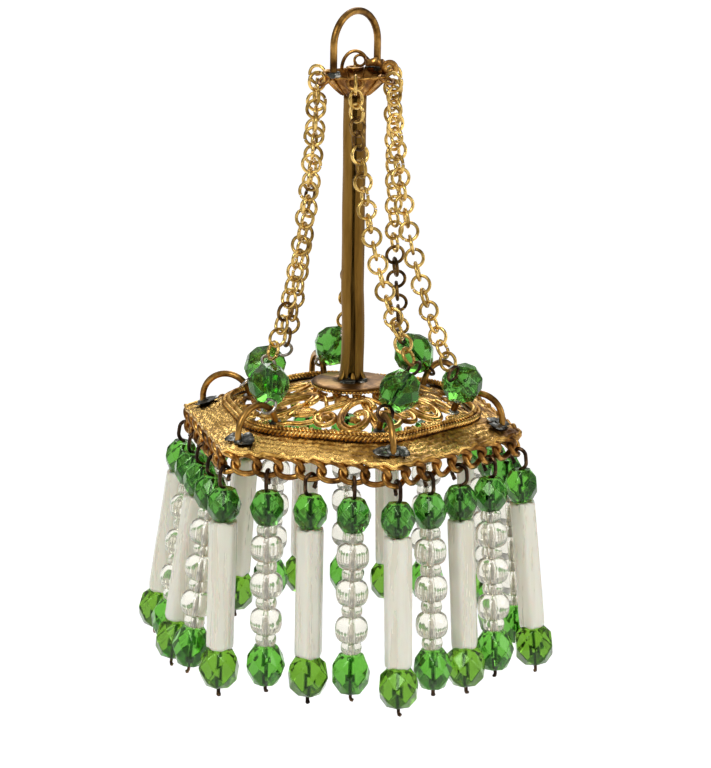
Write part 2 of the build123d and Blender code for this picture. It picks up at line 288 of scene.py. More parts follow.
# ------------------------------------------------------------------ materials
def shader(name, base, **sockets):
    material = bpy.data.materials.new(name)
    material.use_nodes = True
    bsdf = material.node_tree.nodes["Principled BSDF"]
    bsdf.inputs["Base Color"].default_value = (*base, 1)
    for key, value in sockets.items():
        bsdf.inputs[key.replace("_", " ")].default_value = value
    return material, material.node_tree, bsdf


def node(tree, kind, **values):
    made = tree.nodes.new(kind)
    for key, value in values.items():
        if key in made.inputs:
            made.inputs[key].default_value = value
        else:
            setattr(made, key, value)
    return made


def part_of(tree, space, axis):
    """One coordinate of the point that is shaded."""
    place = node(tree, "ShaderNodeTexCoord")
    parts = node(tree, "ShaderNodeSeparateXYZ")
    tree.links.new(place.outputs[space], parts.inputs[0])
    return parts.outputs[axis]


def noise(tree, scale, detail=4.0, roughness=0.6, stretch=None):
    """Noise in the object's own space; scale is in features per metre."""
    made = node(tree, "ShaderNodeTexNoise", Scale=scale, Detail=detail, Roughness=roughness)
    source = node(tree, "ShaderNodeTexCoord").outputs["Object"]
    if stretch is not None:
        mapping = node(tree, "ShaderNodeMapping", Scale=stretch)
        tree.links.new(source, mapping.inputs["Vector"])
        source = mapping.outputs["Vector"]
    tree.links.new(source, made.inputs["Vector"])
    return made.outputs["Fac"]


def ramp(tree, source, *stops):
    """Colour ramp; each stop is a place and a colour, or a place and a grey."""
    made = node(tree, "ShaderNodeValToRGB")
    while len(made.color_ramp.elements) < len(stops):
        made.color_ramp.elements.new(0.5)
    for element, (position, color) in zip(made.color_ramp.elements, stops):
        element.position = position
        element.color = (*(color if isinstance(color, tuple) else (color,) * 3), 1)
    tree.links.new(source, made.inputs["Fac"])
    return made.outputs["Color"]


def bump(tree, bsdf, source, strength, distance):
    made = node(tree, "ShaderNodeBump", Strength=strength, Distance=distance)
    tree.links.new(source, made.inputs["Height"])
    tree.links.new(made.outputs["Normal"], bsdf.inputs["Normal"])


def multiplied(tree, first, second):
    mixed = node(tree, "ShaderNodeMix", data_type="RGBA", blend_type="MULTIPLY")
    factor, first_color, second_color = (mixed.inputs[i] for i in (0, 6, 7))
    factor.default_value = 1.0
    tree.links.new(first, first_color)
    tree.links.new(second, second_color)
    return mixed.outputs[2]


def painted_hollow_shade(tree, color, hollow_shade_tone):
    """Painted shade: darkens the hollows of the relief, which the pointiness of the mesh finds."""
    shape = node(tree, "ShaderNodeNewGeometry")
    shade = ramp(tree, shape.outputs["Pointiness"],
                 (0.41, (hollow_shade_tone, hollow_shade_tone * 0.72, hollow_shade_tone * 0.45)), (0.495, 1.0))
    return multiplied(tree, color, shade)


def brass(name, dark, middle, bright, patch=260, tarnish=0.45, rough=(0.24, 0.5), grain=6000,
          grain_depth=0.00002, strength=0.35, hollow_shade_tone=0.35, stretch=None, browner_right=0.0):
    """Worn gilt brass: bright metal with brown tarnish in patches, a fine grain, and painted shade in the
    hollows of its relief.
    """
    material, tree, bsdf = shader(name, bright, Metallic=1.0)
    patches = noise(tree, patch, 6.0, 0.65, stretch)
    if browner_right:
        shifted = node(tree, "ShaderNodeMath", operation="MULTIPLY_ADD")
        shifted.inputs[1].default_value = -browner_right
        tree.links.new(part_of(tree, "Object", "X"), shifted.inputs[0])
        tree.links.new(patches, shifted.inputs[2])
        patches = shifted.outputs[0]
    color = ramp(tree, patches, (tarnish - 0.13, dark), (tarnish, middle), (tarnish + 0.12, bright))
    polish = ramp(tree, patches, (tarnish - 0.1, rough[1]), (tarnish + 0.15, rough[0]))
    # the hollows of the relief are darkened with painted shade
    tree.links.new(painted_hollow_shade(tree, color, hollow_shade_tone), bsdf.inputs["Base Color"])
    tree.links.new(polish, bsdf.inputs["Roughness"])
    bump(tree, bsdf, noise(tree, grain, 5.0, 0.7), strength, grain_depth)
    return material


def glass(name, base, rough, shine=(1.0, 1.0, 1.0), clarity=1.0):
    material, tree, bsdf = shader(name, base, **{"Transmission Weight": clarity, "IOR": 1.5,
                                                 "Specular Tint": (*shine, 1.0)})
    polish = ramp(tree, noise(tree, 1500, 5.0, 0.6), (0.35, rough[0]), (0.75, rough[1]))
    tree.links.new(polish, bsdf.inputs["Roughness"])
    bump(tree, bsdf, noise(tree, 700, 3.0, 0.5), 0.25, 0.00004)
    return material


gilt = brass("gilt_brass_bright", (0.11, 0.040, 0.005), (0.42, 0.21, 0.04), (0.86, 0.54, 0.16),
             patch=420, tarnish=0.46, rough=(0.18, 0.42), hollow_shade_tone=0.25)
gilt_sand = brass("gilt_brass_sanded", (0.10, 0.040, 0.006), (0.40, 0.21, 0.04), (0.90, 0.57, 0.165),
                  patch=260, tarnish=0.455, rough=(0.18, 0.46), grain=3000, grain_depth=0.00010,
                  strength=0.85, hollow_shade_tone=0.15, browner_right=4.5)
brown_brass = brass("brass_brown", (0.055, 0.022, 0.005), (0.20, 0.098, 0.020), (0.42, 0.225, 0.055),
                    patch=330, tarnish=0.47, rough=(0.28, 0.48))
stem_brass = brass("brass_streaked", (0.105, 0.048, 0.008), (0.19, 0.100, 0.019), (0.29, 0.162, 0.034),
                   patch=300, tarnish=0.44, rough=(0.46, 0.56), stretch=(1.0, 1.0, 0.12))
copper_brass = brass("brass_coppery", (0.045, 0.018, 0.004), (0.23, 0.100, 0.022), (0.52, 0.28, 0.07),
                     patch=480, tarnish=0.48, rough=(0.22, 0.46))
chain_brass = brass("chain_brass", (0.12, 0.055, 0.010), (0.40, 0.25, 0.06), (0.78, 0.53, 0.17),
                    patch=420, tarnish=0.43, rough=(0.20, 0.40))
chain_dark = brass("chain_tarnished", (0.03, 0.016, 0.005), (0.12, 0.06, 0.016), (0.34, 0.20, 0.055),
                   patch=500, tarnish=0.49, rough=(0.26, 0.48))
# blackened wire of the pins, also used for the painted shade under the ropes
dark_wire_and_rope_shade = brass("wire_blackened_and_rope_shade", (0.012, 0.008, 0.006), (0.045, 0.025, 0.015), (0.17, 0.10, 0.05),
                  patch=600, tarnish=0.51, rough=(0.26, 0.48))
silver_wire = brass("wire_worn_bright", (0.10, 0.09, 0.075), (0.34, 0.31, 0.27), (0.66, 0.62, 0.57),
                    patch=600, tarnish=0.46, rough=(0.2, 0.4))
solder_grey = brass("solder_dull", (0.022, 0.024, 0.021), (0.09, 0.092, 0.078), (0.60, 0.60, 0.56),
                    patch=900, tarnish=0.54, rough=(0.16, 0.5), grain=1800, grain_depth=0.00010,
                    strength=0.9)
green_shine = (0.55, 0.85, 0.45)
green_glass = glass("glass_emerald", (0.115, 0.40, 0.042), (0.04, 0.20), green_shine)
deep_glass = glass("glass_emerald_deep", (0.098, 0.34, 0.048), (0.04, 0.20), green_shine)
lime_glass = glass("glass_lime", (0.14, 0.34, 0.026), (0.04, 0.20), green_shine)
clear_glass = glass("glass_clear", (0.97, 0.945, 0.85), (0.04, 0.18), clarity=0.86)


def satin_glass():
    """Milky glass with fine streaks along it."""
    material, tree, bsdf = shader("glass_satin_white", (0.86, 0.82, 0.69), **{
        "Transmission Weight": 0.30, "IOR": 1.48, "Subsurface Weight": 0.25, "Subsurface Scale": 0.002,
        "Coat Weight": 0.3, "Coat Roughness": 0.15})
    streaks = noise(tree, 900, 4.0, 0.6, stretch=(1.0, 1.0, 0.06))
    color = ramp(tree, streaks, (0.25, (0.80, 0.74, 0.59)), (0.6, (0.93, 0.89, 0.77)))
    tree.links.new(color, bsdf.inputs["Base Color"])
    tree.links.new(ramp(tree, streaks, (0.3, 0.20), (0.7, 0.42)), bsdf.inputs["Roughness"])
    bump(tree, bsdf, streaks, 0.35, 0.00005)
    return material


white_glass = satin_glass()


# ------------------------------------------------------------------ hexagon with rounded corners
def hexagon_radius(angle, corner_radius, fillet):
    """Distance of the outline from the middle, at an angle from the front corner."""
    off, half_corner = radians((angle + 30) % 60 - 30), radians(30)
    centre = corner_radius - fillet / cos(half_corner)
    if abs(off) < atan2(fillet * 0.5, centre + fillet * cos(half_corner)):
        return centre * cos(off) + sqrt(fillet ** 2 - (centre * sin(off)) ** 2)
    return corner_radius * cos(half_corner) / cos(half_corner - abs(off))


def hexagon_path(corner_radius, fillet, z, count):
    return np.array([outward(a) * hexagon_radius(a, corner_radius, fillet) + at_height(z)
                     for a in np.arange(count) * 360 / count])


# ------------------------------------------------------------------ border plate
plate_outer, plate_inner, plate_low, plate_rise = 21.55, 16.5, 1.42, 1.46


def crimp(angle):
    """Height of the waves that the outer edge was pinched into."""
    a = radians(angle)
    return 0.13 * sin(60 * a) + 0.07 * sin(97 * a + 1) + 0.05 * sin(23 * a)


def border_plate():
    """Sloping rim of thin sheet: crinkled ridges along each side, a sanded field, a crimped outer edge."""
    around, across, sheet = 960, 40, 0.42
    ridges = 5.5
    draw = np.random.default_rng(5)
    sand = draw.normal(0, 1, (around, across))
    sand = (sand + np.roll(sand, 1, 0) + np.roll(sand, 1, 1)) / sqrt(3)
    phases = draw.uniform(0, 2 * pi, 6)
    verts = []
    for i in range(around):
        angle = i * 360 / around
        a = radians(angle)
        direction = outward(angle)
        outer = hexagon_radius(angle, plate_outer, 0.7)
        inner = hexagon_radius(angle, plate_inner, 7.6)
        middle = abs((angle + 30) % 60 - 30) / 30            # 0 at a corner, 1 in the middle of a side
        worked = 1 - 0.75 * exp(-((angle - 270) / 26) ** 2)  # the left side is only sanded
        for k in range(across):
            share = k / (across - 1)
            radius = outer + (inner - outer) * share
            field = sin(pi * min(1, share * 1.05))
            wave = sin(2 * pi * ridges * share + 0.9 * sin(18 * a + phases[0])
                       + 0.7 * sin(47 * a + phases[1]) + 0.5 * sin(83 * a + 4 * share))
            broken = 0.75 + 0.45 * sin(29 * a + 9 * share + phases[3]) * sin(61 * a + phases[4])
            z = plate_low + plate_rise * min(1, share * 1.13)
            z += 0.14 * wave * broken * field * worked * (0.45 + 0.55 * middle)
            z += 0.045 * sand[i, k] * (0.25 + field) * (1.6 - 0.8 * worked)
            z += 0.11 * (1 - middle) ** 2 * field
            z += crimp(angle) * exp(-share * 9)
            verts.append(direction * radius + at_height(z))
    verts += [v - UP * sheet for v in verts]
    shape = Shape().add((np.array(verts), two_layers(around, across)))
    edge = hexagon_path(21.5, 0.8, 1.50, around)
    angles = np.arange(around) * 360 / around
    edge[:, 2] += [crimp(angle) for angle in angles]
    shape.add(tube(edge, 0.25, 8, closed=True, normal=UP))
    return shape.piece("border_plate_ribbed", "frame", "gilt_brass", [gilt_sand], ["border_plate"])


def rope(path, strand, helix, turns, twist=1):
    """Two strands twisted round a closed path."""
    shape = Shape()
    count = len(path)
    run = np.roll(path, -1, 0) - np.roll(path, 1, 0)
    run = run / np.linalg.norm(run, axis=1)[:, None]
    lateral = np.cross(run, UP)
    for start in (0.0, pi):
        phase = start + twist * np.arange(count) * 2 * pi * turns / count
        points = path + helix * (np.cos(phase)[:, None] * lateral + np.sin(phase)[:, None] * UP)
        shape.add(tube(points, strand, 6, closed=True, normal=UP))
    return shape


def rope_trim():
    """Two ropes of opposite twist on the inner edge, with dark tubes under and beside them as painted
    shade in their gaps.
    """
    shape = Shape()
    turns = 96
    for corner_radius, z, twist in ((17.2, 3.24, 1), (16.55, 3.58, -1)):
        made = rope(hexagon_path(corner_radius, 7.6, z, turns * 12), 0.19, 0.17, turns, twist)
        shape.add((np.vstack(made.verts), made.faces))
    # dark tubes under and beside the ropes: painted shade, so the gaps between the strands read dark
    for corner_radius, z in ((17.2, 3.0), (16.6, 3.3)):
        shape.add(tube(hexagon_path(corner_radius, 7.6, z, 360), 0.24, 6, closed=True, normal=UP), 1)
    return shape.piece("rope_trim_twisted", "frame", "gilt_brass", [gilt, dark_wire_and_rope_shade], ["rope_trim"])


# ------------------------------------------------------------------ scrollwork
def spiral(centre, radius, start, turns, shrink=0.78, count=46, stretch=1.0):
    """Plane curl that winds in from radius; returns (u, v) points."""
    points = []
    for i in range(count):
        share = i / (count - 1)
        a = radians(start) + share * turns * 2 * pi
        r = radius * (1 - shrink * share)
        points.append((centre[0] + r * cos(a), centre[1] + r * sin(a) * stretch))
    return points


def scrollwork():
    """Six sprays of scrolled wire with rosettes and a leaf, and a broad beaded rib to each corner."""
    shape = Shape()
    foot_r, foot_z, head_r, head_z = 14.35, 2.55, 4.6, disc_top - 1.15
    rise = atan2(head_z - foot_z, foot_r - head_r)
    for k in range(sides):
        middle = 60 * k + 30
        u_dir, out_dir = along(middle), outward(middle)
        v_dir = -out_dir * cos(rise) + UP * sin(rise)
        up_dir = out_dir * sin(rise) + UP * cos(rise)
        foot = out_dir * foot_r + at_height(foot_z)

        def on_sector(points, lift=0.0):
            return np.array([foot + u_dir * u + v_dir * v + up_dir * lift for u, v in points])

        def wire(points, width=0.27, height=0.9, lift=0.0):
            shape.add(tube(on_sector(points, lift), width, 8, normal=up_dir, flat=height))

        def dome(u, v, radius, lift=0.12, lobes=5):
            centre = on_sector([(u, v)], lift)[0]
            turn = np.column_stack([u_dir, v_dir, up_dir])
            shape.add(rosette(radius, lobes), 0, turn, centre)

        # the great scroll beside the rib, doubled by a finer wire, and its curl
        great = []
        for s in np.linspace(0, 1, 60):
            winding = max(0.0, (s - 0.55) / 0.45) ** 1.2
            a = radians(35 + 430 * s)
            r = 1.90 * (1 - 0.68 * winding)
            great.append((3.0 + r * cos(a), 6.1 - 0.9 * winding + 1.85 * r * sin(a)))
        wire(great, 0.50, 0.7)
        wire([(3.0 + (u - 3.0) * 0.86, 6.1 + (v - 6.1) * 0.86) for u, v in great[:44]], 0.18, 1.0, 0.30)
        dome(3.05, 4.95, 0.72, 0.2)
        # the small ring with its rosette, and the band that rises from it to the disc
        wire(spiral((-0.55, 4.9), 1.42, 150, 1.25, 0.55, 46, 1.25), 0.40, 0.75)
        dome(-0.55, 4.9, 0.70, 0.15)
        wire([(-1.95, 5.3), (-1.4, 6.5), (-0.4, 7.5), (0.7, 8.4), (1.7, 9.4), (2.3, 10.2)], 0.46, 0.7)
        wire([(-1.8, 5.9), (-1.1, 7.1), (0.0, 8.0), (1.0, 8.9)], 0.13, 1.0, 0.26)
        dome(0.35, 9.35, 1.05, 0.05, 3)
        wire([(-2.4, 10.1), (-1.9, 9.6), (-1.5, 8.6), (-1.1, 7.4)], 0.26)
        # the leaf on the left, its veins and the stalk below it
        leaf = np.linspace(0, 1, 16)
        blade = [(-4.9 + 3.1 * s, 5.0 + 1.0 * sin(s * 2.2)) for s in leaf]
        swell = 0.15 + 0.95 * np.sin(np.pi * np.clip(leaf * 0.93 + 0.05, 0, 1)) ** 0.8
        shape.add(tube(on_sector(blade, 0.02), swell, 12, normal=up_dir, flat=0.26))
        for side_step in (-0.45, 0.0, 0.45):
            vein = [(u, v + side_step * sin(pi * s)) for (u, v), s in zip(blade[2:-1], leaf[2:-1])]
            wire(vein, 0.09, 1.0, 0.26)
        wire([(-6.2, 2.6), (-4.9, 3.3), (-3.4, 3.3), (-2.2, 3.9), (-1.6, 4.6)], 0.38, 0.75)
        wire([(-5.3, 5.0), (-4.3, 7.4), (-3.1, 9.0), (-2.5, 10.1)], 0.30, 0.75)
        # small curls along the rope
        for u, size, turns in ((-5.6, 0.85, 1.3), (-2.5, 1.0, -1.3), (0.9, 0.95, 1.3), (4.9, 1.1, -1.3)):
            wire(spiral((u, 1.75), size, 90 + 40 * turns, turns, 0.66, 34, 1.15), 0.26, 0.8)
        wire([(1.9, 2.1), (2.4, 2.9), (3.0, 3.3)], 0.26)
        wire([(-3.4, 1.6), (-4.3, 1.1), (-4.9, 1.7)], 0.24)
        # rib to the corner
        corner = 60 * k
        rib_out, rib_side = outward(corner), along(corner)

        def rib_point(s):
            return rib_out * (4.5 + s * 11.1) + at_height(disc_top - 1.2 - 3.0 * s)

        line = [rib_point(s) for s in np.linspace(0, 1, 24)]
        normal = unit(np.cross(rib_side, line[-1] - line[0]))
        normal = normal * np.sign(normal[2])
        shape.add(tube(line, 0.50, 10, normal=normal, flat=0.42))
        for shift in (-0.36, 0.36):
            edge = [p + rib_side * shift + normal * 0.14 for p in line]
            shape.add(tube(edge, 0.14, 6, normal=normal))
        for s in np.linspace(0.05, 0.95, 19):
            shape.add(grain(0.17), 0, None, rib_point(s) + normal * 0.2)
    return shape.piece("scrollwork_filigree", "frame", "gilt_brass", [gilt], ["scrollwork"])


def rosette(radius, lobes):
    """Small stamped flower: a domed disc with lobes."""
    rows, around = 6, 30
    verts, faces = [(0, 0, radius * 0.42)], []
    for i in range(1, rows + 1):
        share = i / rows
        for k in range(around):
            a = k * 2 * pi / around
            r = radius * share * (1 + 0.12 * share * cos(lobes * a))
            z = radius * (0.42 * cos(share * 1.5) - 0.12 * exp(-((share - 0.45) / 0.13) ** 2))
            verts.append((r * cos(a), r * sin(a), z))
    for k in range(around):
        faces.append([0, 1 + k, 1 + (k + 1) % around])
    faces += quads(rows, around, columns_close=True, first=1)
    base = len(verts)
    verts += [(x, y, -0.18) for x, y, _ in verts[base - around:base]]
    for k in range(around):
        m = (k + 1) % around
        faces.append([base - around + k, base + k, base + m, base - around + m])
    faces.append([base + k for k in range(around)][::-1])
    return np.array(verts, float), faces


def grain(radius, squash=1.0, seed=0, bumpiness=0.0, detail=1):
    """Small round grain, or with some bumpiness a lump of solder."""
    mesh = bmesh.new()
    bmesh.ops.create_icosphere(mesh, subdivisions=detail, radius=radius)
    draw = random.Random(seed)
    shift = [draw.uniform(0, 6.28) for _ in range(3)]
    for v in mesh.verts:
        x, y, z = v.co / radius
        wobble = 1 + bumpiness * (sin(3.1 * x + shift[0]) + sin(4.3 * y + shift[1])
                                  + sin(5.2 * z + 2.6 * x + shift[2])) / 3
        v.co *= wobble
        v.co.z *= squash
    return arrays(mesh)


# ------------------------------------------------------------------ centre disc, stem, crown
def centre_disc():
    """Thin domed disc with a row of small beads under its edge."""
    shape = Shape()
    bottom = disc_top - 0.85
    profile = [(1.2, -0.25), (1.2, -0.02), (2.6, -0.03), (4.2, -0.12), (4.75, -0.22),
               (4.95, -0.38), (4.85, -0.5), (4.6, -0.55), (2.6, -0.4)]
    shape.add(revolved(profile, 72), 0, None, at_height(disc_top))
    beads = 66
    for i in range(beads):
        shape.add(grain(0.22, 1.1), 1, None, outward(i * 360 / beads) * 4.72 + at_height(bottom + 0.22))
    shape.add(ring(4.35, 0.35, 72, 8), 1, None, at_height(bottom + 0.16))
    return shape.piece("centre_disc_beaded", "frame", "gilt_brass", [brown_brass, gilt], ["centre_disc"])


def stem():
    """Sheet rolled into a tube. The seam stays open and faces the front left."""
    outer, wall = 1.4, 0.3
    seam = radians(9)
    around, rows = 36, 70
    section = [(outer, k) for k in range(around)] + [(outer - wall, k) for k in reversed(range(around))]
    verts = []
    low, high = disc_top + 0.12, crown_floor_z + 0.05
    for i in range(rows):
        s = i / (rows - 1)
        z = low + (high - low) * s
        bend = 0.16 * sin(pi * min(1, s / 0.32)) if s < 0.32 else 0.0
        axis_shift = along(crown_turn) * bend * 0.9
        flare = 0.22 * exp(-s * 34)
        spread = seam * (1 + 0.35 * sin(s * 9) + 1.5 * exp(-s * 22))
        for radius, k in section:
            a = spread + (2 * pi - 2 * spread) * k / (around - 1)
            dent = 0.025 * sin(7 * s * pi + 3 * a) + 0.02 * sin(23 * s + 5 * a)
            r = radius + flare * (0.6 + 0.4 * cos(3 * a)) + dent
            side = outward(crown_turn) * cos(a) + along(crown_turn) * sin(a)
            verts.append(side * r + axis_shift + at_height(z))
    faces = flipped(quads(rows, len(section), columns_close=True))
    for end in (0, (rows - 1) * len(section)):
        for k in range(around - 1):
            inner = end + len(section) - 1 - k
            rim = [end + k, inner, inner - 1, end + k + 1]
            faces += flipped([rim]) if end else [rim]
    shape = Shape().add((np.array(verts), faces))
    return shape.piece("stem_rolled", "frame", "gilt_brass", [stem_brass], ["stem"])


def stem_tabs():
    """Torn ends of the sheet, bent out on to the disc."""
    shape = Shape()
    tabs = ((-62, 1.3, 0.75), (-8, 1.05, 0.6), (48, 1.35, 0.8), (120, 1.1, 0.8), (205, 1.2, 0.8))
    for angle, length, width in tabs:
        out_dir = outward(angle)
        points = [out_dir * (1.36 + 0.42 * length * s ** 1.5)
                  + at_height(disc_top + 0.12 + length * (1 - s) * 0.9) for s in np.linspace(0, 1, 7)]
        radii = width * np.array([0.35, 0.62, 0.8, 0.95, 1.0, 0.95, 0.8]) * 0.5
        shape.add(tube(points, radii, 8, normal=out_dir, flat=0.3))
    return shape.piece("stem_tabs", "frame", "gilt_brass", [stem_brass])


def dish_height(share):
    """Height of the crown at a share of its radius: a flat floor, then a rise to the rim."""
    rise = max(0.0, (share - 0.32) / 0.68) ** 1.25
    return crown_floor_z + (crown_rim_z - crown_floor_z - 0.42) * rise


def crown():
    """Stamped rosette, dished upwards, its six petals pierced for the chains."""
    shape = Shape()
    around, rows, sheet = 180, 26, 0.26
    verts = []
    for k in range(around):
        angle = k * 360 / around
        petal = cos(radians(6 * (angle - crown_turn)))
        rim = 3.95 + 0.25 * petal
        for i in range(rows):
            s = i / (rows - 1)
            r = 0.25 + (rim - 0.25) * s
            z = dish_height(s) + 0.32 + 0.10 * petal * sin(pi * s)
            z += 0.10 * sin(radians(angle) * 24) * s * (1 - s)
            verts.append(outward(angle) * r + at_height(z))
    verts += [v - UP * sheet for v in verts]
    shape.add((np.array(verts), flipped(two_layers(around, rows))))
    droops = (38, 26, -6, 0, 18, 34)                 # how far each ear is bent down, degrees
    for k in range(sides):
        angle = crown_turn + 60 * k
        lean = radians(droops[k])
        ear_out = outward(angle) * cos(lean) - UP * sin(lean)
        root = outward(angle) * 3.4 + at_height(crown_rim_z - 0.2)
        turn = basis(along(angle), np.cross(along(angle), ear_out))
        shape.add(ring(0.885, 0.52, 34, 10, 0.72), 0, turn, root + ear_out)
        for splay in (-17, 0, 17):
            direction = outward(angle + splay)
            vein = np.array([direction * r + at_height(dish_height(r / 4.0) + 0.36)
                             for r in np.linspace(1.7, 3.9, 10)])
            for below in (0.0, 0.42):
                shape.add(tube(vein - UP * below, 0.11, 6, normal=UP))
    rear = crown_turn + 180                          # the wire edge of the rear petal stands up
    base = outward(rear) * 3.45 + at_height(crown_rim_z - 0.3)
    edge = [base + along(rear) * 1.65 * cos(a) + UP * 2.3 * sin(a) for a in np.linspace(0, pi, 26)]
    shape.add(tube(edge, 0.22, 8, normal=outward(rear)))
    shape.add(ring(0.66, 0.34, 26, 8), 0, basis(along(rear), outward(rear)),
              base - along(rear) * 0.55 + UP * 1.15)
    return shape.piece("crown_rosette", "frame", "gilt_brass", [copper_brass], ["crown"])


def crown_cup():
    """Bent-up petals round the rear foot of the bail, half full of solder, and a curled one beside it."""
    shape = Shape()
    profile = [(0.15, 0.0), (0.75, 0.25), (1.12, 0.95), (1.22, 1.75),
               (1.12, 1.78), (1.0, 1.0), (0.65, 0.42), (0.15, 0.2)]
    verts, faces = revolved(profile, 40)
    around = np.arctan2(verts[:, 1], verts[:, 0])
    verts[:, 2] *= 1 + 0.12 * np.sin(3 * around + 0.6)
    tilt = basis(along(124), outward(124) * 0.25 + UP)
    centre = outward(128) * 3.5 + at_height(crown_rim_z - 0.65)
    shape.add((verts, faces), 0, tilt, centre)
    shape.add(grain(0.95, 0.55, 77, 0.3, 3), 1, tilt, centre + UP * 0.75)
    curl_out = outward(84)
    curl_base = curl_out * 4.1 + at_height(crown_rim_z + 0.35)
    curl = [curl_base + curl_out * u + UP * v for u, v in spiral((0, 0), 0.85, -60, 1.1, 0.45, 30)]
    shape.add(tube(curl, 0.36, 8, normal=along(84), flat=0.4))
    return shape.piece("crown_cup", "frame", "gilt_brass", [copper_brass, solder_grey])


# ------------------------------------------------------------------ gallery, lift loops, solder
def rim_point(distance, corner_round=0.6):
    """Point and outward direction on the gallery line, so far round from the front corner."""
    side, rest = divmod(distance, plate_radius)
    reach = corner_round * tan(radians(30))
    near = rest if rest < plate_radius / 2 else rest - plate_radius
    if abs(near) < reach:
        corner = 60 * (side + (0 if near == rest else 1))
        direction = outward(corner + 30 * near / reach)
        centre = outward(corner) * (plate_radius - corner_round / cos(radians(30)))
        return centre + direction * corner_round, direction
    start, stop = outward(60 * side) * plate_radius, outward(60 * side + 60) * plate_radius
    return start + (stop - start) * rest / plate_radius, outward(60 * side + 30)


def gallery():
    """Flat curb chain round the rim: each link twists so that its ends pass over and under the next."""
    shape = Shape()
    pitch = plate_radius / loops_per_side
    half_length, half_height, weave = 1.64, 1.16, 0.32
    for i in range(sides * loops_per_side):
        points = []
        for a in np.radians(np.arange(0, 360, 10)):
            place, direction = rim_point(i * pitch + half_length * cos(a))
            points.append(place + direction * weave * sin(2 * a) + at_height(half_height * sin(a)))
        shape.add(tube(points, 0.36, 10, closed=True, normal=outward(0) + outward(90)))
    return shape.piece("gallery_curb_chain", "frame", "tarnished_brass", [copper_brass], ["gallery"])


def lift_loops():
    """Wire arches that stand over the border plate at its corners."""
    shape = Shape()
    draw = random.Random(11)
    for k in range(sides):
        out_dir, side = outward(60 * k), along(60 * k)
        sway = draw.uniform(-0.25, 0.25)
        points = [out_dir * (arch_centre_r + arch_radius) + at_height(z) for z in (1.85, 2.2, 2.6)]
        for a in np.linspace(0, 172, 40):
            r = arch_centre_r + arch_radius * cos(radians(a))
            z = arch_centre_z + arch_radius * sin(radians(a))
            points.append(out_dir * r + side * sway * sin(radians(a)) * 0.3 + at_height(z))
        shape.add(tube(points, arch_wire / 2, 12, normal=side))
    return shape.piece("lift_loop_wires", "frame", "gilt_brass", [brown_brass], ["lift_loops"])


def solder():
    """Flat splashes of solder at the feet of the loops, the stem and the bail."""
    shape = Shape()
    seed = 0

    def splash(place, radius, squash, wobble=0.4, turn=None):
        nonlocal seed
        seed += 1
        turn = np.eye(3) if turn is None else turn
        shape.add(grain(radius, squash, seed, wobble, 3), 0, turn @ rotation_z(seed * 67), place)

    slope = plate_rise * 1.13 / (plate_outer - plate_inner)
    for k in range(sides):
        out_dir, side = outward(60 * k), along(60 * k)
        lying = basis(side, out_dir * slope + UP)
        for r, shift, size, squash in ((18.95, 0.0, 0.75, 0.34), (18.7, -1.15, 1.0, 0.09),
                                       (18.75, 1.1, 1.0, 0.09), (17.9, 0.3, 0.8, 0.08)):
            z = plate_low + slope * (plate_outer - r) + 0.12
            splash(out_dir * r + side * shift + at_height(z), size, squash, 0.35, lying)
        splash(out_dir * 12.95 + at_height(3.45), 0.75, 0.4)
    for angle, r, size in ((-30, 1.5, 1.0), (35, 1.55, 0.8), (150, 1.45, 1.0)):
        splash(outward(angle) * r + at_height(disc_top + 0.02), size, 0.3)
    for angle in (-57, 123):
        splash(outward(angle) * 3.85 + at_height(crown_rim_z), 0.75, 0.6, 0.3)
    return shape.piece("solder_lumps", "frame", "solder", [solder_grey], ["solder"])


# ------------------------------------------------------------------ chains
ear_centre, ear_radius, ear_hole_radius = 4.4, 1.15, 0.62    # the crown's ears, which hold the top links
link_radius, link_wire, link_limit = 1.09, 0.42, 1.70
end_eye, end_eye_wire, end_shank = 0.95, 0.40, 4.7


def curve_places(start, bend, stop, spare):
    """Middles and headings of the links along a quadratic curve that stops short of its end by spare."""
    t = np.linspace(0, 1, 2001)[:, None]
    points = (1 - t) ** 2 * start + 2 * t * (1 - t) * bend + t ** 2 * stop
    steps = np.r_[0, np.cumsum(np.linalg.norm(np.diff(points, axis=0), axis=1))]
    length = steps[-1] - spare
    marks = np.linspace(0, length, ceil(length / link_limit) + 1)
    placed = np.column_stack([np.interp(marks, steps, points[:, i]) for i in range(3)])
    share = np.interp(marks, steps, t[:, 0])[:, None]
    heading = 2 * (1 - share) * (bend - start) + 2 * share * (stop - bend)
    return placed, [unit(h) for h in heading]


def open_link(seed):
    """Round link with the hair-line cut where it was closed."""
    draw = random.Random(seed)
    start = draw.uniform(0, 360)
    points = arc(link_radius, start + 2.2, start + 357.8, 30)
    return tube(points, link_wire / 2, 9, normal=UP)


